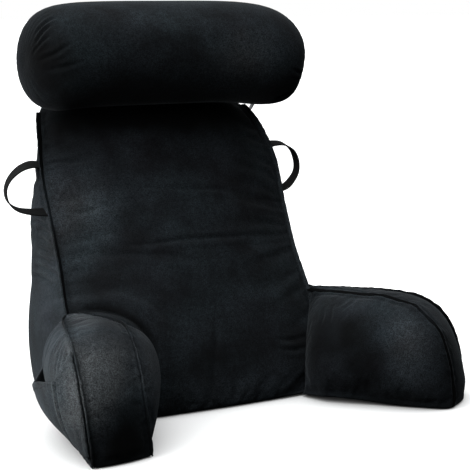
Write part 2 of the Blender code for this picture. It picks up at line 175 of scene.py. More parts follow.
# Velvet
# place on the ramp, colour
PILE_DARK, PILE_LIGHT = (0.32, (0.0049, 0.0058, 0.0065, 1)), (0.72, (0.0140, 0.0190, 0.0213, 1))
PAINTED_LIGHT_GREY = (0.0112, 0.0120, 0.0126, 1)  # where light is painted on, the pile greys towards this
TINT_GREEN, TINT_RED = (0.90, 1.05, 1.06, 1), (1.14, 0.93, 1.06, 1)
# noises: scale, detail, roughness
CLOUDS, TINTS, PILE, GRAIN = (16.0, 3.0, 0.55), (9.0, 2.0), (700.0, 2.0, 0.7), (190.0, 3.0, 0.65)
# noises, and for the greying the painted light: from, to; what that becomes from, to
FLECKS, GRAINS, GREYING = (0.35, 0.65, 0.38, 1.95), (0.3, 0.7, 0.7, 1.35), (0.0, 3.0, 0.0, 0.9)
PILE_BUMP = {"Strength": 0.45, "Distance": 0.0009}
PILE_LOOK = {
    "Roughness": 0.92, "Specular IOR Level": 0.12, "Sheen Roughness": 0.42,
    "Sheen Tint": (0.86, 0.93, 1.0, 1),
}

# Narrow cloth
CLOTH_CLOUDS, CLOTH_DARKER, CLOTH_LIGHTER = (60.0, 3.0), 0.72, 1.35
CLOTH_BUMP = {"Strength": 0.5, "Distance": 0.0004}
CLOTH_SHINE = 0.22


# ---- meshes and noise

def link(name, mesh, material):
    piece = bpy.data.objects.new(name, mesh)
    bpy.context.scene.collection.objects.link(piece)
    mesh.materials.clear()
    mesh.materials.append(material)
    mesh.shade_smooth()
    return piece


def places(mesh):
    co = np.empty(len(mesh.vertices) * 3)
    mesh.vertices.foreach_get("co", co)
    return co.reshape(-1, 3)


def set_places(mesh, co):
    mesh.vertices.foreach_set("co", np.ascontiguousarray(co, float).ravel())
    mesh.update()


def normals(mesh):
    n = np.empty(len(mesh.vertices) * 3)
    mesh.vertex_normals.foreach_get("vector", n)
    return n.reshape(-1, 3)


def made_piece(name, bm, material):
    """A piece from an edit mesh, which is freed."""
    mesh = bpy.data.meshes.new(name)
    bm.to_mesh(mesh)
    bm.free()
    return link(name, mesh, material)


def loft(bm, rings):
    """Joins rings of vertices to a closed body with capped ends."""
    for low, top in zip(rings, rings[1:]):
        for i in range(len(low)):
            j = (i + 1) % len(low)
            bm.faces.new((low[i], low[j], top[j], top[i]))
    bm.faces.new(rings[0][::-1])
    bm.faces.new(rings[-1])


def tree_over(mesh, faces):
    """A search tree over some of a mesh's faces."""
    return BVHTree.FromPolygons([tuple(p) for p in places(mesh)], [tuple(p.vertices) for p in faces])


def unit_rows(rows):
    return rows / np.linalg.norm(rows, axis=1)[:, None]


def bell(far, wide):
    """One at the middle, fading away over this width."""
    return np.exp(-(far / wide) ** 2)


def applied(piece):
    """The piece's mesh with its modifiers applied; they are then removed."""
    graph = bpy.context.evaluated_depsgraph_get()
    mesh = bpy.data.meshes.new_from_object(piece.evaluated_get(graph), depsgraph=graph)
    piece.modifiers.clear()
    old = piece.data
    piece.data = mesh
    bpy.data.meshes.remove(old)
    return mesh


def smooth_line(points, rounds=2):
    points = np.array(points, float)
    for _ in range(rounds):
        points[1:-1] = (points[:-2] + 2 * points[1:-1] + points[2:]) / 4
    return points


def resample(points, step):
    """Points along a line at equal steps, with its ends kept."""
    points = np.array(points, float)
    steps = np.linalg.norm(np.diff(points[:, :3], axis=0), axis=1)
    at = np.concatenate([[0.0], np.cumsum(steps)])
    count = max(3, int(round(at[-1] / step)) + 1)
    new = np.linspace(0, at[-1], count)
    return np.stack([np.interp(new, at, points[:, k]) for k in range(points.shape[1])], axis=1)


class Noise:
    """Smooth gradient noise from a seeded table, about -1 to 1."""

    def __init__(self, seed):
        draw = np.random.RandomState(seed)
        self.order = np.concatenate([draw.permutation(256)] * 3)
        grads = draw.normal(size=(256, 3))
        self.grads = grads / np.linalg.norm(grads, axis=1)[:, None]

    def __call__(self, p):
        p = np.asarray(p, float)
        cell = np.floor(p).astype(int)
        f = p - cell
        w = f ** 3 * (f * (f * 6 - 15) + 10)
        total = np.zeros(len(p))
        for corner in np.ndindex(2, 2, 2):
            at = (cell + corner) & 255
            pick = self.order[self.order[self.order[at[:, 0]] + at[:, 1]] + at[:, 2]]
            dot = ((f - corner) * self.grads[pick]).sum(axis=1)
            share = np.prod(np.where(np.array(corner) == 1, w, 1 - w), axis=1)
            total += dot * share
        return total * 1.6


NOISE = Noise(11)


def noise_along(run, pitch, row):
    """Noise along a line, from a row of its own."""
    return NOISE(np.stack([run / pitch, np.full(len(run), row), np.zeros(len(run))], axis=1))


# ---- seams

def chains(links):
    """Sorts linked pairs into lines of vertex numbers."""
    lines = []
    left = set(links)
    while left:
        ends = sorted(i for i in left if len(links[i]) == 1) or sorted(left)
        line = [ends[0]]
        left.discard(ends[0])
        while True:
            ahead = sorted(j for j in links[line[-1]] if j in left)
            if not ahead:
                break
            line.append(ahead[0])
            left.discard(ahead[0])
        lines.append(line)
    return lines


def press_seams(bm, avoid):
    """Presses the raised seams of a solid flat, and gives them as lines of foot and tip."""
    bm.verts.index_update()
    links = {}
    for edge in bm.edges:
        if len(edge.link_faces) != 2 or edge.calc_face_angle(0.0) < SEAM_ANGLE:
            continue
        a, b = edge.verts
        if avoid and min(avoid.find_nearest(v.co)[3] for v in (a, b)) < SEAM_CLEAR:
            continue
        links.setdefault(a.index, set()).add(b.index)
        links.setdefault(b.index, set()).add(a.index)
    bm.verts.ensure_lookup_table()
    feet = {}
    for i in links:
        roots = [e.other_vert(bm.verts[i]) for e in bm.verts[i].link_edges]
        roots = [v.co for v in roots if v.index not in links]
        feet[i] = sum(roots, Vector()) / max(1, len(roots)) if roots else bm.verts[i].co.copy()
    lines = []
    for chain in chains(links):
        line = [[*feet[i], *bm.verts[i].co] for i in chain]
        length = sum(math.dist(a[3:], b[3:]) for a, b in zip(line, line[1:]))
        if length > SEAM_LONG:
            lines.append(np.array(line))
    for i, foot in feet.items():
        bm.verts[i].co = foot
    return lines


class Lines:
    """Lines in space, sampled finely, to find what lies near them."""

    STEP = 0.0015

    def __init__(self, lines):
        fine = [resample(np.array(line)[:, :3], self.STEP) for line in lines]
        self.spots = np.concatenate(fine)
        self.run = np.concatenate([np.arange(len(f)) * self.STEP for f in fine])
        self.share = np.concatenate([np.linspace(0, 1, len(f)) for f in fine])
        self.which = np.concatenate([np.full(len(f), k) for k, f in enumerate(fine)])
        ahead = np.concatenate([np.gradient(f, axis=0) for f in fine])
        self.ahead = ahead / np.linalg.norm(ahead, axis=1)[:, None]
        self.tree = KDTree(len(self.spots))
        for i, spot in enumerate(self.spots):
            self.tree.insert(spot, i)
        self.tree.balance()

    def near(self, co, reach):
        """For each place: its distance, or twice the reach, and the number of the nearest sample."""
        far = np.full(len(co), reach * 2)
        at = np.zeros(len(co), int)
        low, high = self.spots.min(0) - reach, self.spots.max(0) + reach
        for i in np.nonzero(((co > low) & (co < high)).all(axis=1))[0]:
            _, at[i], far[i] = self.tree.find(co[i])
        return far, at


def add_seam(name, line, material, seed, rise, painted_tone, edge):
    """A raised seam: two cloth edges sewn together, which stand out of the joint and wave a little."""
    line = resample(line, SEAM_STEP)
    foot = smooth_line(line[:, :3], SEAM_SMOOTHED)
    up = smooth_line(line[:, 3:], SEAM_SMOOTHED) - foot
    high = rise * np.clip(np.linalg.norm(up, axis=1), SEAM_LOW, SEAM_HIGH)
    up = unit_rows(up)
    ahead = unit_rows(np.gradient(foot, axis=0))
    across = unit_rows(np.cross(ahead, up))
    run = np.arange(len(foot)) * SEAM_STEP
    wave = sum(noise_along(run, pitch, seed + row) * size for pitch, size, row in SEAM_WAVES)
    pitch, size, row = SEAM_RAGGED
    high *= 1 + size * noise_along(run, pitch, seed + row)
    loop = SEAM_PROFILE + [SEAM_GROOVE] + [(h, -t) for h, t in SEAM_PROFILE[::-1]]
    bm = bmesh.new()
    rings = []
    for i in range(len(foot)):
        ring = []
        for h, t in loop:
            rise_here = h * high[i] if h >= 0 else -SEAM_ROOT
            spot = foot[i] + up[i] * rise_here + across[i] * (t * SEAM_THICK / 2 + wave[i] * max(0.0, h))
            ring.append(bm.verts.new((spot[0], spot[1], max(0.0, spot[2]))))
        rings.append(ring)
    loft(bm, rings)
    bmesh.ops.recalc_face_normals(bm, faces=bm.faces)
    piece = made_piece(name, bm, material)
    # painted tone over the seam, mostly painted shade, and a painted highlight on the top of its left side,
    # where the light falls
    left = np.sign(across[:, 0])
    painted_tones = [edge if h > SEAM_HIGHLIGHT_FROM and t * left[i] > 0 else painted_tone for i in range(len(foot)) for h, t in loop]
    paint_light_and_shade(piece, painted_tones)
    return piece


# ---- cushions

def near_tree(tree, reach):
    """How firmly cloth is held near a neighbour: a function of places."""
    def hold(co):
        share = np.zeros(len(co))
        for i, p in enumerate(co):
            far = tree.find_nearest(p, reach * 2)[3]
            if far is not None:
                share[i] = min(1.0, max(0.0, HOLD_FADE - far / reach))
        return share
    return hold


def cushion(name, node, voxel, cap, spare, material, avoid=None, sewn=None):
    """A stuffed cushion made from a soft solid, with the lines of its raised seams."""
    bm = bmesh.new()
    bm.from_mesh(NODES[node].data)
    bmesh.ops.remove_doubles(bm, verts=bm.verts, dist=SAME_SPOT)
    lines = press_seams(bm, avoid)
    bmesh.ops.recalc_face_normals(bm, faces=bm.faces)
    piece = made_piece(name, bm, material)
    remesh = piece.modifiers.new("remesh", "REMESH")
    remesh.mode = "VOXEL"
    remesh.voxel_size = voxel
    remesh.adaptivity = 0.0
    mesh = applied(piece)
    bm = bmesh.new()
    bm.from_mesh(mesh)
    for _ in range(VOXEL_SMOOTHED):
        bmesh.ops.smooth_vert(
            bm, verts=bm.verts, factor=0.5, use_axis_x=True, use_axis_y=True, use_axis_z=True)
    bm.to_mesh(mesh)
    bm.free()
    co = places(mesh)
    out = normals(mesh)
    far = Lines(lines).near(co, EDGE_REACH)[0] if lines else np.full(len(co), 1.0)
    held = np.clip(HOLD_FADE - far / SEAM_HOLD, 0, 1)
    floor = np.clip(FLOOR_FADE - co[:, 2] / FOOT_HOLD, 0, 1)
    start = co - out * (START_IN * (1 - held) * (1 - floor))[:, None]
    set_places(mesh, start)
    group = piece.vertex_groups.new(name="held")
    hold = np.maximum(held, floor)
    if sewn is not None:
        hold = np.maximum(hold, sewn(co))
    for level in np.unique(np.round(hold, 1)):
        if level > 0:
            group.add(np.nonzero(np.round(hold, 1) == level)[0].tolist(), float(level), "REPLACE")
    swell(piece, cap, spare, start)
    return piece, lines


def swell(piece, cap, spare, start):
    """Swells a cushion under pressure, with spare cloth between the places where it is held."""
    scene = bpy.context.scene
    sim = piece.modifiers.new("cloth", "CLOTH")
    settings = sim.settings
    settings.quality = 5
    settings.mass = 0.3
    settings.tension_stiffness = 18.0
    settings.compression_stiffness = 18.0
    settings.shear_stiffness = 6.0
    settings.bending_stiffness = 0.4
    settings.use_pressure = True
    settings.uniform_pressure_force = PRESSURE
    settings.shrink_min = -spare
    settings.vertex_group_mass = "held"
    settings.effector_weights.gravity = 0.0
    sim.collision_settings.use_collision = False
    sim.point_cache.frame_start = 1
    sim.point_cache.frame_end = SWELL_FRAMES
    for step in range(1, SWELL_FRAMES + 1):
        scene.frame_set(step)
    mesh = applied(piece)
    scene.frame_set(1)
    co = places(mesh)
    move = co - start
    far = np.linalg.norm(move, axis=1)
    move *= (np.minimum(1.0, cap * np.tanh(far / cap) / np.maximum(far, 1e-9)))[:, None]
    set_places(mesh, start + move)


def finer(piece, levels=1):
    sub = piece.modifiers.new("finer", "SUBSURF")
    sub.levels = sub.render_levels = levels
    return applied(piece)


# ---- creases

def add_creases(piece, creases):
    """Presses creases into the cloth, each with a soft ridge on both sides."""
    mesh = piece.data
    co = places(mesh)
    out = normals(mesh)
    tree = tree_over(mesh, mesh.polygons)
    lift = np.zeros(len(co))
    for depth, width, points in creases:
        line = [tree.find_nearest(p)[0] for p in along(points, 24)]
        lines = Lines([smooth_line(line, 2)])
        far, at = lines.near(co, width * 5)
        fade = np.sin(np.pi * np.clip(lines.share[at], 0.02, 0.98)) ** 0.6
        wave = 1 + CREASE_UNEVEN * NOISE(co / UNEVEN_PITCH + depth * 3e4)
        ridges = RIDGE_HIGH * bell(far - RIDGE_AT * width, RIDGE_WIDE * width)
        lift -= depth * fade * wave * (bell(far, width) - ridges)
    set_places(mesh, co + out * lift[:, None])


def add_gathers(piece, centre, side, deep, seed):
    """Gathers the cloth of a bolster's end towards its middle."""
    mesh = piece.data
    co = places(mesh)
    out = normals(mesh)
    from_end = np.clip((centre[0] - co[:, 0]) * side, 0, None)
    y, z = co[:, 1] - centre[1], co[:, 2] - centre[2]
    radius = np.hypot(y, z)
    turn = np.arctan2(z, y)
    ring = np.stack([np.cos(turn) * 1.7, np.sin(turn) * 1.7, np.full(len(co), seed)], axis=1)
    warp = NOISE(ring) * 1.3 + NOISE(np.stack([co[:, 0] / 0.05, ring[:, 0], ring[:, 1]], axis=1)) * 0.5
    length = GATHER_SHORT + GATHER_MORE * np.clip(NOISE(ring * 1.9 + 5.0) + 0.25, 0, 1)
    wave = 1 - np.abs(np.sin(turn * GATHERS / 2 + warp * 2.0)) ** 0.7
    fade = np.clip(radius / GATHER_RADIUS, 0, 1) ** 1.5 * bell(from_end, length)
    dimple = DIMPLE_DEEP * bell(radius, DIMPLE_WIDE) * (from_end < DIMPLE_REACH)
    lift = -deep * fade * wave + 0.4 * deep * fade - dimple
    set_places(mesh, co + out * lift[:, None])


def add_puckers(piece, lines, seed):
    """Small gathers that run off a seam, and the dip beside it."""
    mesh = piece.data
    co = places(mesh)
    out = normals(mesh)
    near = Lines(lines)
    far, at = near.near(co, PUCKER_REACH * 2.2)
    side = np.sign(((co - near.spots[at]) * np.cross(near.ahead[at], out)).sum(axis=1))
    run = near.run[at] + near.which[at] * 3.0
    wave = NOISE(np.stack([run / PUCKER_PITCH, side * 4.0 + seed, far / PUCKER_LONG], axis=1))
    lift = PUCKER_DEEP * wave * bell(far - PUCKER_AT, PUCKER_REACH)
    lift -= SEAM_DIP * bell(far, SEAM_DIP_WIDE)
    set_places(mesh, co + out * lift[:, None])


def set_down(piece):
    """Squares the foot of a cushion where its weight rests on the floor."""
    co = places(piece.data)
    out = normals(piece.data)
    z = np.clip(co[:, 2], 0, None)
    low = np.clip(1 - z / FOOT_HIGH, 0, 1) * np.clip(1 + out[:, 2], 0, 1)
    co[:, :2] += out[:, :2] * (FOOT_OUT * low)[:, None]
    co[:, 2] = np.where(z < FOOT_HIGH, z * (z / FOOT_HIGH) ** FOOT_SQUARED, z)
    set_places(piece.data, co)


def settled(co):
    """Places moved by the table of small settlings of the filling."""
    moved = co.copy()
    for x, y, z, wide, *move in SETTLED:
        far = np.linalg.norm(co - (x, y, z), axis=1)
        moved += bell(far, wide)[:, None] * move
    moved[:, 2] = np.clip(moved[:, 2], 0, None)
    return moved


def paint_light_and_shade(piece, painted_tones=0.0, strokes=()):
    """Stores the painted light and painted shade in the pile's colour: patch by patch, and along a few
    strokes.
    """
    co = places(piece.data)
    painted_light_and_shade = np.zeros(len(co)) + painted_tones
    warp = 1 + PAINTED_PATCHY * NOISE(co / UNEVEN_PITCH)
    for x, y, z, *wide, gain in LIGHT_AND_SHADE_PATCHES:
        far = np.linalg.norm((co - (x, y, z)) / wide, axis=1) * warp
        painted_light_and_shade += gain * bell(far, 1.0)
    for gain, width, points in strokes:
        lines = Lines([along(points, 30)])
        far, at = lines.near(co, width * 3)
        fade = np.sin(np.pi * np.clip(lines.share[at], 0.03, 0.97)) ** 0.4
        painted_light_and_shade += gain * fade * bell(far, width)
    layer = piece.data.attributes.new("painted_light_and_shade", "FLOAT", "POINT")
    layer.data.foreach_set("value", np.clip(painted_light_and_shade, PAINTED_LEAST, PAINTED_MOST))


# ---- pocket, loops, tapes

def draw_to_seam(co, edge, seam, under):
    """The patch's places with its front edge drawn to the arm's seam, as high over the cushion as before."""
    near_edge = Lines([edge])
    near_seam = Lines([seam])
    far, at = near_edge.near(co, POCKET_DRAWN)
    moved = co.copy()
    for i in np.nonzero(far < POCKET_DRAWN)[0]:
        spot = near_edge.spots[at[i]]
        goal = near_seam.spots[near_seam.tree.find(spot)[1]]
        gap = np.linalg.norm(goal - spot)
        share = (1 - far[i] / POCKET_DRAWN) ** 1.5 * max(0.0, gap - POCKET_OFF) / max(gap, 1e-6)
        moved[i] += (goal - spot) * share
        near, up, _, _ = under.find_nearest(co[i])
        before = (Vector(co[i]) - near).dot(up)
        near, up, _, _ = under.find_nearest(moved[i])
        after = (Vector(moved[i]) - near).dot(up)
        moved[i] += np.array(up) * (before - after) * min(1.0, 4 * share)
    return moved


def pocket_solid(material):
    """The patch made finer from its solid, and the ring of places along its outer face's rim."""
    bm = bmesh.new()
    bm.from_mesh(NODES["arm_pocket"].data)
    bmesh.ops.remove_doubles(bm, verts=bm.verts, dist=SAME_SPOT)
    bmesh.ops.join_triangles(bm, faces=bm.faces, angle_face_threshold=0.7, angle_shape_threshold=3.1)
    bm.verts.index_update()
    bm.faces.index_update()
    bm.faces.ensure_lookup_table()
    crease = bm.edges.layers.float.new("crease_edge")
    outer, reached = set(), {max(bm.faces, key=lambda face: -face.normal.x * face.calc_area()).index}
    while reached:
        outer |= reached
        edges = [e for i in reached for e in bm.faces[i].edges if e.calc_face_angle(0.0) < RIM_ANGLE]
        reached = {f.index for e in edges for f in e.link_faces} - outer
    links = {}
    for edge in bm.edges:
        if edge.calc_face_angle(0.0) > RIM_ANGLE:
            edge[crease] = 0.9
        if sum(f.index in outer for f in edge.link_faces) == 1:
            a, b = edge.verts
            links.setdefault(a.index, set()).add(b.index)
            links.setdefault(b.index, set()).add(a.index)
    bm.verts.ensure_lookup_table()
    rim = np.array([tuple(bm.verts[i].co) for i in max(chains(links), key=len)])
    piece = made_piece("pocket_patch", bm, material)
    finer(piece, POCKET_FINER)
    return piece, rim


def mouth_and_rest(rim):
    """The rim's two parts, both from one end of the mouth to the other."""
    rim = np.roll(rim, -int(np.argmin(np.linalg.norm(rim - POCKET_REAR_TOP, axis=1))), axis=0)
    front = int(np.argmin(np.linalg.norm(rim - POCKET_FRONT_TOP, axis=1)))
    one, other = rim[:front + 1], np.concatenate([rim[front:], rim[:1]])
    mouth, rest = (one, other) if one[:, 2].mean() > other[:, 2].mean() else (other, one)
    if mouth[0, 1] < mouth[-1, 1]:
        mouth, rest = mouth[::-1], rest[::-1]
    return mouth.copy(), rest.copy()


def pocket_relief(co, mouth, rest):
    """How far the hem, the stitch lines and the slack cloth lift the patch's face."""
    near_mouth = Lines([mouth])
    far, at = near_mouth.near(co, MOUTH_REACH)
    hem = 1 / (1 + np.exp((far - HEM_WIDE) / HEM_EDGE))
    stitch = bell(far - HEM_STITCH, HEM_STITCH_WIDE)
    rows = [near_mouth.run[at] / RIPPLE_PITCH, far / MOUTH_REACH, np.full(len(co), 3.0)]
    ripple = NOISE(np.stack(rows, axis=1)) * np.exp(-far / RIPPLE_REACH)
    slack = NOISE(co / SLACK_PITCH + 7.0)
    near_edge = Lines([rest])
    far, at = near_edge.near(co, EDGE_REACH)
    pull = noise_along(near_edge.run[at], PULL_PITCH, 9.0) * np.exp(-far / PULL_REACH)
    edge = bell(far - EDGE_STITCH, EDGE_STITCH_WIDE)
    free = np.clip(far / EDGE_REACH, 0, 1)
    lift = hem * HEM_THICK - stitch * HEM_STITCH_DEEP
    lift = lift + ripple * RIPPLE_HIGH * free + slack * SLACK_HIGH * free
    return lift + (pull * PULL_HIGH - edge * EDGE_STITCH_DEEP)


def add_pocket(material, seam, under):
    """The patch with its folded hem, and the lines of its mouth and of its sewn edges."""
    piece, rim = pocket_solid(material)
    mesh = piece.data
    mouth, rest = mouth_and_rest(rim)
    edge = rest[:POCKET_FRONT].copy()
    set_places(mesh, draw_to_seam(places(mesh), edge, seam, under))
    rest[:POCKET_FRONT] = draw_to_seam(edge, edge, seam, under)
    mouth[-1] = rest[0]
    co = places(mesh)
    out = normals(mesh)
    lift = pocket_relief(co, mouth, rest)
    kink, foot = mouth[round(POCKET_FOLD[0] * (len(mouth) - 1))], rest[POCKET_FOLD[1]]
    tree = outer_faces(piece)
    fold = [tree.find_nearest(kink + (foot - kink) * t)[0] for t in np.linspace(0, 1, 14)]
    fold = Lines([smooth_line(fold, 2)])
    far, at = fold.near(co, EDGE_REACH)
    side = np.cross(fold.ahead[at], out)
    aside = ((co - fold.spots[at]) * side).sum(axis=1)
    aside = np.where(aside * side[:, 1] > 0, far, -far)
    fade = np.clip(1.25 - fold.share[at], 0, 1)
    high, ridge_at, ridge_wide = FOLD_RIDGE
    deep, groove_wide = FOLD_GROOVE
    lift += fade * (high * bell(aside - ridge_at, ridge_wide) - deep * bell(aside, groove_wide))
    set_places(mesh, co + out * lift[:, None])
    # painted shade in the fold's groove and behind it, a painted highlight on its ridge, and painted light
    # over the whole patch
    strokes = []
    for back, painted_tone in ((0.0, FOLD_PAINTED_SHADE), (ridge_at, FOLD_PAINTED_HIGHLIGHT), (PAINTED_SHADE_BEHIND_AT, FOLD_PAINTED_SHADE_BEHIND)):
        strokes.append((*painted_tone, (fold.spots + np.array([0.0, back, 0.0]))[::12]))
    paint_light_and_shade(piece, POCKET_PAINTED_LIGHT, strokes)
    return piece, mouth, rest


def outer_faces(piece):
    """A search tree over the patch's outer face."""
    return tree_over(piece.data, [p for p in piece.data.polygons if p.normal.x < -0.1])


def inside_edge(piece, line, inset):
    """Places on the outer face of a sheet, this far in from its edge, and its normals there."""
    tree = outer_faces(piece)
    middle = np.mean(places(piece.data), axis=0)
    line = smooth_line(resample(line, 0.002), 2)
    ahead = unit_rows(np.gradient(line, axis=0))
    spots, ups = [], []
    for p, step in zip(line, ahead):
        inward = middle - p
        inward -= step * (inward @ step)
        inward /= np.linalg.norm(inward)
        near, up, _, _ = tree.find_nearest(p + inward * inset)
        spots.append(tuple(near))
        ups.append(tuple(up))
    return np.array(spots), np.array(ups)


def add_stitches(name, spots, ups, material):
    """A row of short threads along a line on cloth."""
    both = resample(np.concatenate([spots, ups], axis=1), STITCH_STEP)
    line, ups = both[:, :3], both[:, 3:]
    every = int(round((STITCH_LONG + STITCH_SPACE) / STITCH_STEP))
    span = int(round(STITCH_LONG / STITCH_STEP))
    turn = [math.tau * a / STITCH_SIDES for a in range(STITCH_SIDES)]
    bm = bmesh.new()
    for first in range(2, len(line) - span - 2, every):
        run = line[first:first + span + 1]
        up = Vector(ups[first + span // 2]).normalized()
        ahead = Vector(run[-1] - run[0]).normalized()
        side = ahead.cross(up).normalized()
        rings = []
        for t, grow in STITCH_RINGS:
            rise = STITCH_RADIUS * (1.1 * math.sin(math.pi * t) - 0.35)
            centre = Vector(run[0]).lerp(Vector(run[-1]), t) + up * rise
            corners = [centre + (side * math.cos(a) + up * math.sin(a)) * STITCH_RADIUS * grow for a in turn]
            rings.append([bm.verts.new(corner) for corner in corners])
        loft(bm, rings)
    bmesh.ops.recalc_face_normals(bm, faces=bm.faces)
    return made_piece(name, bm, material)


def along(points, count):
    """A smooth line through a few points, as count points at equal steps."""
    points = np.array(points, float)
    rows = np.arange(len(points), dtype=float)
    slopes = np.gradient(points, axis=0)
    at = np.linspace(0, len(points) - 1, count * 4)
    k = np.clip(at.astype(int), 0, len(points) - 2)
    t = (at - rows[k])[:, None]
    line = (2 * t ** 3 - 3 * t ** 2 + 1) * points[k] + (t ** 3 - 2 * t ** 2 + t) * slopes[k]
    line += (3 * t ** 2 - 2 * t ** 3) * points[k + 1] + (t ** 3 - t ** 2) * slopes[k + 1]
    length = np.concatenate([[0.0], np.cumsum(np.linalg.norm(np.diff(line, axis=0), axis=1))])
    new = np.linspace(0, length[-1], count)
    return np.stack([np.interp(new, length, line[:, c]) for c in range(3)], axis=1)


def add_webbing(name, path, wide, width, thick, rib, material):
    """A woven strap along a line: ribs across it and a rounded selvedge on both edges."""
    length = sum(math.dist(a, b) for a, b in zip(path, path[1:]))
    count = int(length / rib * 4)
    line = along(path, count)
    ahead = unit_rows(np.gradient(line, axis=0))
    wide = along(wide, count) if np.ndim(wide) > 1 else np.tile(np.array(wide, float), (count, 1))
    across = unit_rows(wide - ahead * (ahead * wide).sum(axis=1)[:, None])
    face = np.cross(ahead, across)
    cords = enumerate(np.linspace(-0.74, 0.74, CORDS))
    half = SELVEDGE + [(u, CORD_LOW + CORD_HIGH * (k % 2)) for k, u in cords]
    half += [(-u, t) for u, t in SELVEDGE[::-1]]
    loop = half + [(u, -t) for u, t in half[-2:0:-1]]
    bm = bmesh.new()
    rings = []
    for i in range(count):
        middle_rib, edge_rib = (RIB_HIGH * math.sin(math.tau * i / 4 + turn) for turn in (0.0, EDGE_TURN))
        ring = []
        for u, t in loop:
            rib_here = middle_rib if abs(u) < EDGE_AT else edge_rib
            ribbed = t + math.copysign(rib_here, t) if t else 0.0
            spot = line[i] + across[i] * u * width / 2 + face[i] * ribbed * thick / 2
            ring.append(bm.verts.new(spot))
        rings.append(ring)
    loft(bm, rings)
    bmesh.ops.recalc_face_normals(bm, faces=bm.faces)
    return made_piece(name, bm, material)


# ---- materials

def nodes_of(name):
    material = bpy.data.materials.new(name)
    material.use_nodes = True
    tree = material.node_tree
    return material, tree, tree.nodes["Principled BSDF"]


def set_inputs(node, values):
    for key, value in values.items():
        node.inputs[key].default_value = value


def add(tree, kind, inputs=None, **settings):
    node = tree.nodes.new(kind)
    for key, value in settings.items():
        setattr(node, key, value)
    for key, value in (inputs or {}).items():
        if isinstance(value, bpy.types.NodeSocket):
            tree.links.new(value, node.inputs[key])
        else:
            node.inputs[key].default_value = value
    return node


def colour_of(sockets, name):
    """The colour socket of this name: a Mix node has one for each data type."""
    return next(s for s in sockets if s.name == name and s.type == "RGBA")


def mixed(tree, factor, a, b, blend="MIX"):
    """Two colours or colour sockets mixed."""
    node = add(tree, "ShaderNodeMix", {"Factor": factor}, data_type="RGBA", blend_type=blend)
    for key, value in (("A", a), ("B", b)):
        if isinstance(value, bpy.types.NodeSocket):
            tree.links.new(value, colour_of(node.inputs, key))
        else:
            colour_of(node.inputs, key).default_value = value
    return colour_of(node.outputs, "Result")


def mapped(tree, value, low, high, to_low, to_high):
    ends = {"From Min": low, "From Max": high, "To Min": to_low, "To Max": to_high}
    return add(tree, "ShaderNodeMapRange", {"Value": value, **ends}).outputs["Result"]


def noise(tree, place, scale, detail, roughness=0.5):
    settings = {"Vector": place, "Scale": scale, "Detail": detail, "Roughness": roughness}
    return add(tree, "ShaderNodeTexNoise", settings).outputs["Fac"]


def maths(tree, operation, a, b):
    return add(tree, "ShaderNodeMath", {0: a, 1: b}, operation=operation).outputs[0]


def velvet(name, sheen):
    """Short dense pile: near-black blue, with painted light and painted shade from the vertices, and a fine
    speckle of the pile.
    """
    material, tree, shader = nodes_of(name)
    place = add(tree, "ShaderNodeTexCoord").outputs["Object"]
    ramp = add(tree, "ShaderNodeValToRGB", {"Fac": noise(tree, place, *CLOUDS)})
    dark, light = ramp.color_ramp.elements
    dark.position, dark.color = PILE_DARK
    light.position, light.color = PILE_LIGHT
    tint = mixed(tree, noise(tree, place, *TINTS), TINT_GREEN, TINT_RED)
    tinted = mixed(tree, 1.0, ramp.outputs["Color"], tint, "MULTIPLY")
    # painted light and shade stored on the vertices: it greys the colour and scales its brightness
    painted_light_and_shade = add(tree, "ShaderNodeAttribute", attribute_name="painted_light_and_shade").outputs["Fac"]
    greyed = mixed(tree, mapped(tree, painted_light_and_shade, *GREYING), tinted, PAINTED_LIGHT_GREY)
    pile = noise(tree, place, *PILE)
    grain = noise(tree, place, *GRAIN)
    flecks = mapped(tree, pile, *FLECKS)
    both = maths(tree, "MULTIPLY", flecks, mapped(tree, grain, *GRAINS))
    both = maths(tree, "MULTIPLY", both, maths(tree, "ADD", painted_light_and_shade, 1.0))
    speckled = add(tree, "ShaderNodeVectorMath", {0: greyed, "Scale": both}, operation="SCALE")
    tree.links.new(speckled.outputs[0], shader.inputs["Base Color"])
    height = maths(tree, "ADD", grain, pile)
    bump = add(tree, "ShaderNodeBump", {**PILE_BUMP, "Height": height})
    tree.links.new(bump.outputs["Normal"], shader.inputs["Normal"])
    set_inputs(shader, {**PILE_LOOK, "Sheen Weight": sheen})
    return material


def plain_cloth(name, colour, roughness, sheen, scale):
    """Woven narrow cloth: crossed threads at the given number to a metre."""
    material, tree, shader = nodes_of(name)
    place = add(tree, "ShaderNodeTexCoord").outputs["Object"]
    thread = noise(tree, place, scale, 2.0)
    ramp = add(tree, "ShaderNodeValToRGB", {"Fac": noise(tree, place, *CLOTH_CLOUDS)})
    ramp.color_ramp.elements[0].color = (*[c * CLOTH_DARKER for c in colour], 1)
    ramp.color_ramp.elements[1].color = (*[min(1.0, c * CLOTH_LIGHTER) for c in colour], 1)
    tree.links.new(ramp.outputs["Color"], shader.inputs["Base Color"])
    bump = add(tree, "ShaderNodeBump", {**CLOTH_BUMP, "Height": thread})
    tree.links.new(bump.outputs["Normal"], shader.inputs["Normal"])
    set_inputs(shader, {"Roughness": roughness, "Sheen Weight": sheen, "Specular IOR Level": CLOTH_SHINE})
    return material


# ---- stage

def set_camera():
    data = bpy.data.cameras.new("camera")
    data.sensor_width = SENSOR
    data.lens = FOCAL_PIXELS * SENSOR / IMAGE_SIDE
    data.clip_start = 0.05
    camera = bpy.data.objects.new("camera", data)
    camera.location = CAMERA_PLACE
    camera.rotation_euler = [math.radians(a) for a in CAMERA_TURN]
    bpy.context.scene.collection.objects.link(camera)
    bpy.context.scene.camera = camera


def set_light(name, data, place, aim, power, colour):
    data.energy = power
    data.color = colour
    light = bpy.data.objects.new(name, data)
    light.location = place
    light.rotation_euler = (Vector(aim) - Vector(place)).to_track_quat("-Z", "Y").to_euler()
    bpy.context.scene.collection.objects.link(light)


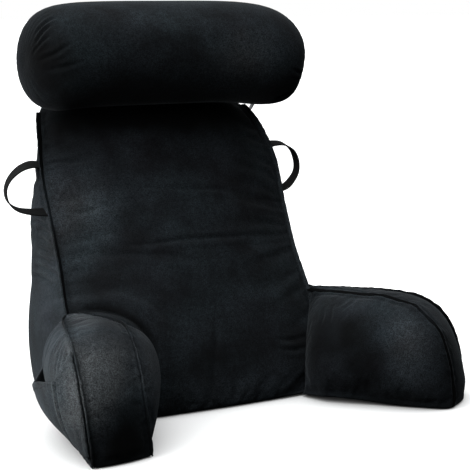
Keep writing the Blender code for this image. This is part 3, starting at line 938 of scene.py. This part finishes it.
def area_light(name, place, aim, size, power, spread):
    data = bpy.data.lights.new(name, "AREA")
    data.shape = "RECTANGLE"
    data.size, data.size_y = size
    data.spread = math.radians(spread)
    set_light(name, data, place, aim, power, WARM)


def sun_light(name, side, spread, power, colour):
    """A large soft light from the given side, spread over so many degrees."""
    data = bpy.data.lights.new(name, "SUN")
    data.angle = math.radians(spread)
    set_light(name, data, side, (0.0, 0.0, 0.0), power, colour)


def set_stage():
    world = bpy.data.worlds.new("studio")
    bpy.context.scene.world = world
    world.use_nodes = True
    tree = world.node_tree
    back = tree.nodes["Background"]
    set_inputs(back, {"Color": (1, 1, 1, 1), "Strength": 1.0})
    way = add(tree, "ShaderNodeTexCoord").outputs["Generated"]
    height = add(tree, "ShaderNodeSeparateXYZ", {"Vector": way}).outputs["Z"]
    glow = mapped(tree, height, 0.0, SKY_FULL, 0.0, SKY_GLOW)
    dim = add(tree, "ShaderNodeBackground", {"Color": SKY_COLOUR, "Strength": glow})
    seen = add(tree, "ShaderNodeLightPath")
    mix = add(tree, "ShaderNodeMixShader", {"Fac": seen.outputs["Is Camera Ray"]})
    tree.links.new(dim.outputs[0], mix.inputs[1])
    tree.links.new(back.outputs[0], mix.inputs[2])
    tree.links.new(mix.outputs[0], tree.nodes["World Output"].inputs["Surface"])

    floor_material, tree, shader = nodes_of("floor")
    set_inputs(shader, FLOOR_LOOK)
    # the floor glows evenly, dimmed where the pillow is near: a painted soft shadow
    near = add(tree, "ShaderNodeAmbientOcclusion", {"Distance": FLOOR_NEAR}).outputs["AO"]
    glow = maths(tree, "MULTIPLY", maths(tree, "POWER", near, FLOOR_DEPTH), FLOOR_GLOW)
    tree.links.new(glow, shader.inputs["Emission Strength"])
    bm = bmesh.new()
    bmesh.ops.create_grid(bm, x_segments=4, y_segments=4, size=FLOOR_SIZE)
    floor = made_piece("floor", bm, floor_material)
    floor.location = (0, 0, -FLOOR_DOWN)
    floor.visible_diffuse = False
    floor.visible_glossy = False

    for row in AREA_LIGHTS:
        area_light(*row)
    for row in SUN_LIGHTS:
        sun_light(*row)
    bpy.context.scene.view_settings.view_transform = "Standard"
    bpy.context.scene.view_settings.look = "None"


# ---- build

VELVET = velvet("velvet", 0.09)
# a copy of the velvet with little sheen, so that the raised seams look shaded
SHADED_SEAM_VELVET = velvet("velvet_seam", 0.015)
WEBBING = plain_cloth("webbing", (0.0028, 0.0029, 0.0031), 0.8, 0.0, 1400.0)
THREAD = plain_cloth("thread", (0.012, 0.012, 0.014), 0.55, 0.1, 2600.0)
TAPE = plain_cloth("tape", (0.45, 0.45, 0.46), 0.7, 0.2, 1800.0)
set_camera()
set_stage()

back_tree = tree_over(NODES["backrest"].data, NODES["backrest"].data.polygons)

# x, y, z: middle of a patch of painted light and shade in the pile's colour; its size along x, y, z; how much
# lighter it is painted (painted shade where below 0)
LIGHT_AND_SHADE_PATCHES = [
    (-0.168, 0.100, 0.300, 0.050, 0.050, 0.050, 1.5),
    (-0.172, 0.145, 0.385, 0.040, 0.040, 0.035, -0.6),
    (0.000, 0.155, 0.425, 0.220, 0.040, 0.030, -0.85),
    (-0.185, 0.045, 0.188, 0.035, 0.030, 0.020, -0.5),
    (-0.036, -0.048, 0.020, 0.120, 0.030, 0.025, 0.9),
    (0.005, -0.035, 0.070, 0.090, 0.030, 0.030, -0.4),
    (-0.262, -0.210, 0.118, 0.045, 0.050, 0.035, 3.4),
    (-0.290, -0.210, 0.085, 0.025, 0.050, 0.045, 2.8),
    (-0.255, -0.185, 0.155, 0.050, 0.040, 0.025, 1.4),
    (-0.243, -0.222, 0.035, 0.035, 0.030, 0.045, -1.2),
    (-0.180, -0.180, 0.110, 0.025, 0.050, 0.050, 2.0),
    (-0.310, -0.130, 0.110, 0.040, 0.090, 0.080, 1.3),
    (-0.214, 0.120, 0.220, 0.030, 0.100, 0.120, 0.25),
    (0.165, -0.070, 0.090, 0.045, 0.050, 0.060, -0.8),
    (0.196, -0.130, 0.080, 0.030, 0.040, 0.055, -0.8),
    (0.244, -0.184, 0.100, 0.034, 0.034, 0.058, 1.6),
    (0.330, -0.190, 0.090, 0.040, 0.050, 0.070, -0.8),
    (0.105, 0.058, 0.515, 0.055, 0.040, 0.045, 2.1),
    (-0.090, 0.079, 0.583, 0.160, 0.030, 0.025, 0.4),
    (0.000, 0.090, 0.445, 0.300, 0.080, 0.030, -0.9),
    (-0.225, 0.105, 0.530, 0.035, 0.070, 0.050, -0.95),
    (-0.322, -0.130, 0.080, 0.020, 0.028, 0.030, -0.8),
]
# the crease where the back cushion meets the left arm's top, with painted shade along it, and the raised ridge
# beside it, with a painted highlight
BAND = [
    (-0.205, 0.036, 0.156), (-0.170, 0.025, 0.158), (-0.144, 0.017, 0.154), (-0.127, 0.009, 0.146),
    (-0.112, 0.001, 0.133), (-0.102, -0.008, 0.117), (-0.096, -0.017, 0.098), (-0.096, -0.025, 0.078),
]
RIDGE = [
    (-0.150, 0.026, 0.176), (-0.128, 0.022, 0.172), (-0.103, 0.013, 0.161), (-0.085, 0.003, 0.146),
    (-0.073, -0.006, 0.126), (-0.067, -0.016, 0.104),
]
# soft folds across the left side panel: height, nearest y, farthest y
SIDE_FOLD_ENDS = [
    (0.289, 0.112, 0.160), (0.276, 0.104, 0.172), (0.263, 0.098, 0.150), (0.250, 0.096, 0.170),
    (0.237, 0.092, 0.158), (0.223, 0.086, 0.172), (0.209, 0.082, 0.152), (0.194, 0.076, 0.168),
]
SIDE_FOLDS = [
    [(-0.209, near, z - 0.004), (-0.214, (near + far) / 2, z + 0.001), (-0.216, far, z - 0.003)]
    for z, near, far in SIDE_FOLD_ENDS
]
# painted shade and painted highlight along lines, in the folds and beside the creases by the arms: how much
# lighter, half width, points
LIGHT_AND_SHADE_STROKES = {
    "back_cushion": [
        *[(-0.50, 0.0034, line) for line in SIDE_FOLDS],
        *[(0.60, 0.0040, [(x, y, z + 0.0065) for x, y, z in line]) for line in SIDE_FOLDS],
        (-0.90, 0.0080, BAND),
        (1.80, 0.0050, RIDGE),
    ],
    "right_arm_cushion": [
        (-0.80, 0.0040, [
            (0.213, 0.028, 0.157), (0.194, 0.012, 0.138), (0.173, -0.017, 0.113), (0.162, -0.025, 0.078),
            (0.147, -0.046, 0.033), (0.145, -0.048, 0.010),
        ]),
    ],
}
# depth, half width, points
CREASES = {
    "back_cushion": [
        (0.0013, 0.0040, [(-0.08, 0.094, 0.325), (0.002, 0.087, 0.317), (0.092, 0.088, 0.310)]),
        (0.0014, 0.0040, [
            (-0.145, 0.062, 0.245), (-0.085, 0.05, 0.242), (-0.018, 0.048, 0.245), (0.061, 0.049, 0.243),
            (0.152, 0.065, 0.241),
        ]),
        (0.0012, 0.0045, [
            (-0.198, 0.071, 0.228), (-0.134, 0.053, 0.232), (-0.057, 0.039, 0.226), (0.007, 0.032, 0.212),
        ]),
        (0.0015, 0.0035, [(-0.203, 0.143, 0.362), (-0.176, 0.136, 0.366), (-0.130, 0.125, 0.362)]),
        (0.0013, 0.0035, [(-0.200, 0.110, 0.300), (-0.165, 0.095, 0.292), (-0.135, 0.088, 0.296)]),
        (0.0015, 0.0050, [
            (0.012, -0.005, 0.135), (0.008, -0.015, 0.108), (-0.005, -0.032, 0.066), (-0.015, -0.047, 0.022),
        ]),
        *[(0.0019, 0.0034, line) for line in SIDE_FOLDS],
        (0.0012, 0.0035, [(0.112, -0.017, 0.088), (0.141, -0.016, 0.083), (0.175, -0.010, 0.086)]),
        (0.0012, 0.0035, [(0.114, -0.024, 0.073), (0.145, -0.020, 0.068), (0.172, -0.014, 0.070)]),
        (0.0075, 0.0065, BAND),
        (-0.0028, 0.0060, RIDGE),
    ],
    "right_arm_cushion": [
        (0.0012, 0.0026, [(0.180, -0.044, 0.142), (0.174, -0.056, 0.130), (0.170, -0.062, 0.116)]),
        (0.0010, 0.0024, [(0.190, -0.056, 0.144), (0.184, -0.068, 0.130), (0.180, -0.074, 0.118)]),
    ],
    "left_arm_cushion": [
        (0.0011, 0.0022, [
            (-0.292, -0.140, 0.165), (-0.303, -0.150, 0.150), (-0.309, -0.155, 0.130),
            (-0.311, -0.155, 0.112),
        ]),
        (0.0010, 0.0020, [
            (-0.288, -0.120, 0.168), (-0.302, -0.125, 0.152), (-0.310, -0.128, 0.132),
            (-0.313, -0.128, 0.112),
        ]),
        (0.0011, 0.0022, [(-0.295, -0.165, 0.158), (-0.303, -0.172, 0.142), (-0.308, -0.175, 0.125)]),
        (0.0009, 0.0018, [(-0.298, -0.155, 0.158), (-0.306, -0.163, 0.142), (-0.310, -0.165, 0.122)]),
    ],
    "roll_cushion": [
        (0.0016, 0.0024, [(0.224, 0.088, 0.490), (0.207, 0.072, 0.494), (0.190, 0.063, 0.501)]),
        (0.0014, 0.0022, [(0.224, 0.088, 0.480), (0.208, 0.074, 0.482), (0.192, 0.066, 0.484)]),
        (0.0022, 0.0026, [(0.214, 0.092, 0.460), (0.198, 0.086, 0.458), (0.182, 0.088, 0.452)]),
        (0.0022, 0.0028, [(-0.224, 0.105, 0.545), (-0.215, 0.098, 0.560), (-0.203, 0.092, 0.573)]),
        (0.0018, 0.0026, [(-0.218, 0.112, 0.556), (-0.206, 0.104, 0.571), (-0.194, 0.098, 0.581)]),
        (0.0016, 0.0024, [(-0.226, 0.108, 0.532), (-0.220, 0.095, 0.545), (-0.210, 0.084, 0.557)]),
        (0.0018, 0.0030, [(-0.222, 0.094, 0.522), (-0.205, 0.078, 0.530), (-0.185, 0.068, 0.545)]),
        (0.0014, 0.0030, [(-0.215, 0.085, 0.508), (-0.198, 0.072, 0.512), (-0.176, 0.064, 0.518)]),
    ],
}
# x, y, z: where the filling has settled; how far that reaches; how far the cloth is moved
SETTLED = [
    (0.195, 0.140, 0.335, 0.065, 0.0065, 0.0, 0.0),
    (0.192, 0.095, 0.255, 0.045, 0.0040, 0.0, 0.0),
    (0.270, -0.020, 0.155, 0.090, 0.0, 0.0, 0.0025),
    (-0.200, 0.220, 0.310, 0.085, -0.0080, 0.0, 0.0),
    (-0.210, 0.220, 0.090, 0.060, -0.0040, 0.0, 0.0),
    (-0.225, 0.100, 0.520, 0.060, 0.0020, 0.0, 0.0),
    (0.225, 0.090, 0.490, 0.040, -0.0050, 0.0, 0.0),
    (0.170, 0.100, 0.450, 0.050, 0.0, 0.0, -0.0050),
    (-0.190, 0.120, 0.455, 0.035, 0.0, 0.0, -0.0040),
    (0.180, -0.100, 0.000, 0.060, 0.0, 0.0, 0.0080),
    (0.340, -0.190, 0.000, 0.050, 0.0090, -0.0020, 0.0),
    (0.248, -0.110, 0.160, 0.024, 0.0, 0.0, 0.0050),
    (0.274, -0.156, 0.151, 0.024, 0.0030, -0.0018, 0.0058),
    (0.293, -0.195, 0.120, 0.022, 0.0032, -0.0018, 0.0028),
]
# rise, as a share of the solid's; painted tone over the seam, painted shade below 0 and painted light above;
# and the painted highlight on its left edge
SEAMS = {
    "back_cushion_seam_1": (0.70, -0.85, 0.6),
    "back_cushion_seam_2": (0.66, 1.10, 1.4),
    "left_arm_cushion_seam_1": (0.60, -0.90, 0.0),
    "left_arm_cushion_seam_2": (0.55, -0.40, 1.2),
    "right_arm_cushion_seam_1": (0.42, -0.85, 0.4),
    "right_arm_cushion_seam_2": (0.85, -0.60, 0.0),
}

# middle, side, depth of the gathers, row of the noise
ROLL_ENDS = [((-0.227, 0.137, 0.519), -1, 0.0005, 3.0), ((0.240, 0.137, 0.506), 1, 0.0010, 8.0)]
# name, node, voxel, farthest swelling, spare cloth, what trims its seams, what it is sewn to
BODIES = [
    ("back_cushion", "backrest", 0.006, 0.008, 0.025, None, None),
    ("roll_cushion", "neck_roll", 0.005, 0.007, 0.030, None, None),
    ("left_arm_cushion", "arm_left", 0.0042, 0.006, 0.015, back_tree, near_tree(back_tree, 0.006)),
    ("right_arm_cushion", "arm_right", 0.0042, 0.006, 0.015, back_tree, near_tree(back_tree, 0.006)),
]
made = {}
for name, node, voxel, cap, spare, avoid, sewn in BODIES:
    piece, lines = cushion(name, node, voxel, cap, spare, VELVET, avoid, sewn)
    finer(piece)
    lines = [line for line in lines if line[:, 2].max() > SEAM_FLOOR]
    lines = [np.concatenate([settled(line[:, :3]), settled(line[:, 3:])], axis=1) for line in lines]
    if node != "neck_roll":
        set_down(piece)
    set_places(piece.data, settled(places(piece.data)))
    if lines:
        add_puckers(piece, lines, len(name))
    else:
        for end in ROLL_ENDS:
            add_gathers(piece, *end)
    add_creases(piece, CREASES[name])
    # painted light and shade in the cushion's colour
    paint_light_and_shade(piece, 0.0, LIGHT_AND_SHADE_STROKES.get(name, ()))
    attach(piece, "root")
    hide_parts(node)
    for k, line in enumerate(lines):
        seam_name = f"{name}_seam_{k + 1}"
        seam = add_seam(seam_name, line, SHADED_SEAM_VELVET, k * 7.0 + len(name), *SEAMS[seam_name])
        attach(seam, "root")
    made[name] = (piece, lines)

arm, arm_lines = made["left_arm_cushion"]
arm_tree = tree_over(arm.data, arm.data.polygons)
patch, mouth, sewn_edge = add_pocket(VELVET, arm_lines[0][:, :3], arm_tree)
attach(patch, "root")
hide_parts("arm_pocket")
for name, line, inset in (
    ("pocket_hem_stitch", mouth, HEM_STITCH),
    ("pocket_edge_stitch", sewn_edge, EDGE_STITCH),
):
    thread = add_stitches(name, *inside_edge(patch, line, inset), THREAD)
    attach(thread, "root")

for name, node, side, path in (
    ("left_loop", "loop_left", -1, LEFT_LOOP),
    ("right_loop", "loop_right", 1, RIGHT_LOOP),
):
    line = [(side * (LOOP_X + out), LOOP_Y + RECLINE * z, z) for out, z, _, _ in path]
    turns = [(math.radians(turned), math.radians(tipped)) for _, _, turned, tipped in path]
    wide = [(math.sin(turned), math.cos(tipped), math.sin(tipped)) for turned, tipped in turns]
    strap = add_webbing(name, line, wide, LOOP_WIDTH, LOOP_THICK, LOOP_RIB, WEBBING)
    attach(strap, "root")
    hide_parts(node)
for name, node, side, inset in (
    ("left_tape", "roll_tape_left", -1, LEFT_TAPE_IN),
    ("right_tape", "roll_tape_right", 1, 0.0),
):
    line = [(side * (x - inset), y, z) for x, y, z in TAPE_PATH]
    strap = add_webbing(name, line, (0, 1, 0), TAPE_WIDTH, TAPE_THICK, TAPE_RIB, TAPE)
    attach(strap, "root")
    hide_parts(node)
